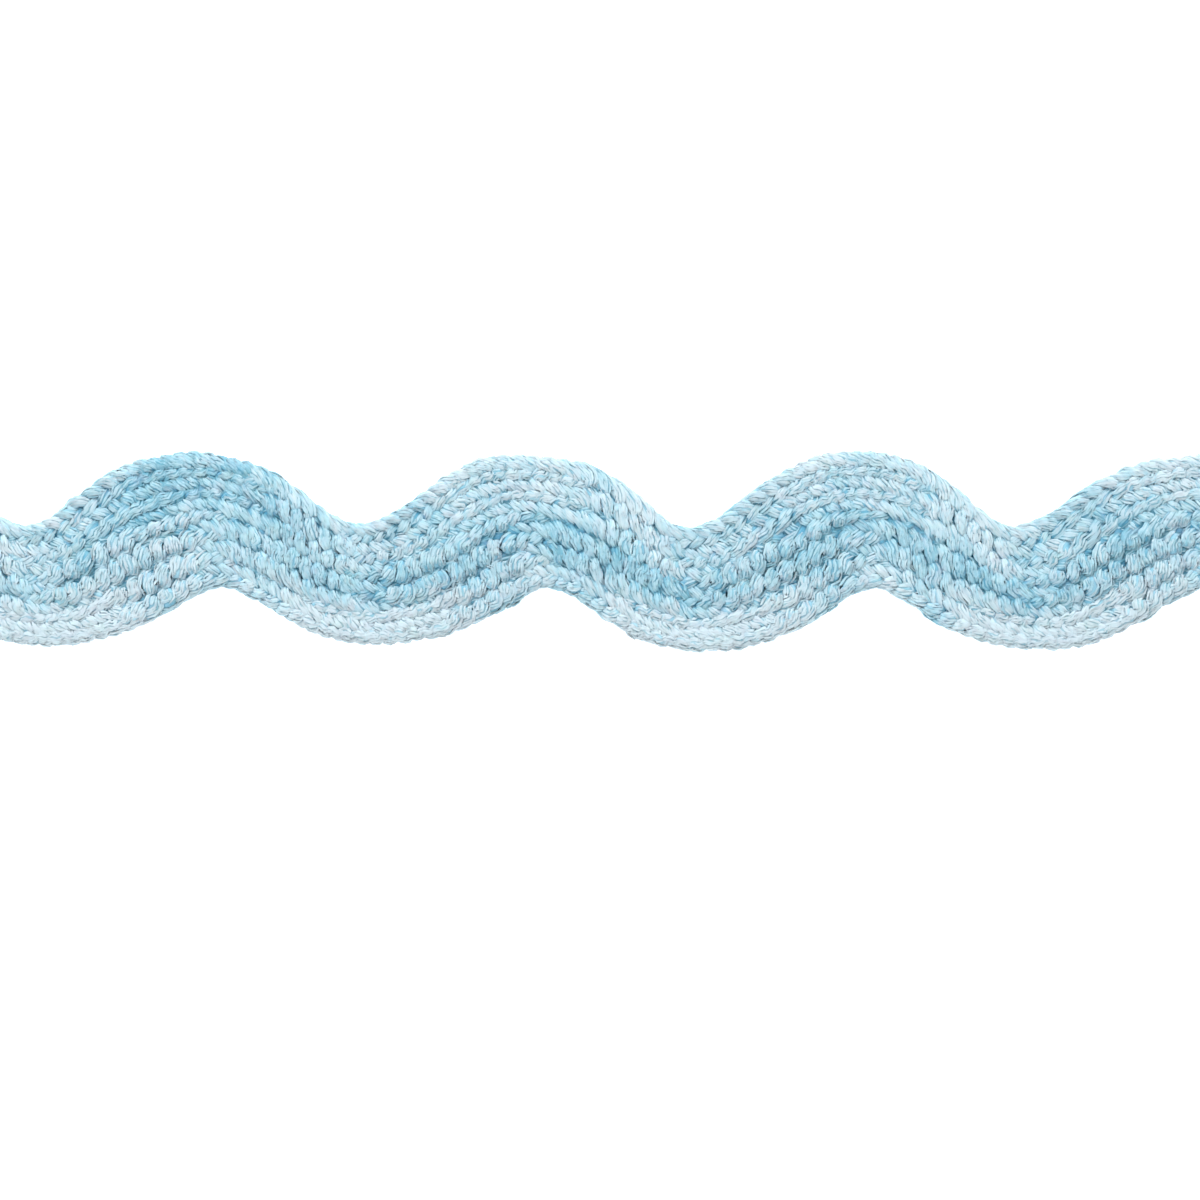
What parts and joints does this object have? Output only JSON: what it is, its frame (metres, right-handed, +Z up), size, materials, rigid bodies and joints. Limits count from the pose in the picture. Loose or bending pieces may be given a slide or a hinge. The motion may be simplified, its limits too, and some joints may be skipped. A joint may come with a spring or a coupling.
{
  "type": "cut length of ric rac trim",
  "caption": "Flat cut length of wavy braided cotton ric rac trim in pale sky blue, lying face up with straight cut ends.",
  "frame": {"origin": "centre of the strip's box in plan, on the surface that it lies on", "axes": "+X runs along the strip, +Y across it towards the top edge, +Z up out of its face"},
  "size_m": [0.1072, 0.0158, 0.0018],
  "materials": {
    "cotton_yarn": "matt braided cotton, soft and slightly fuzzy"
  },
  "bodies": {
    "root": {"ric_rac": "cotton_yarn"}
  },
  "joints": []
}
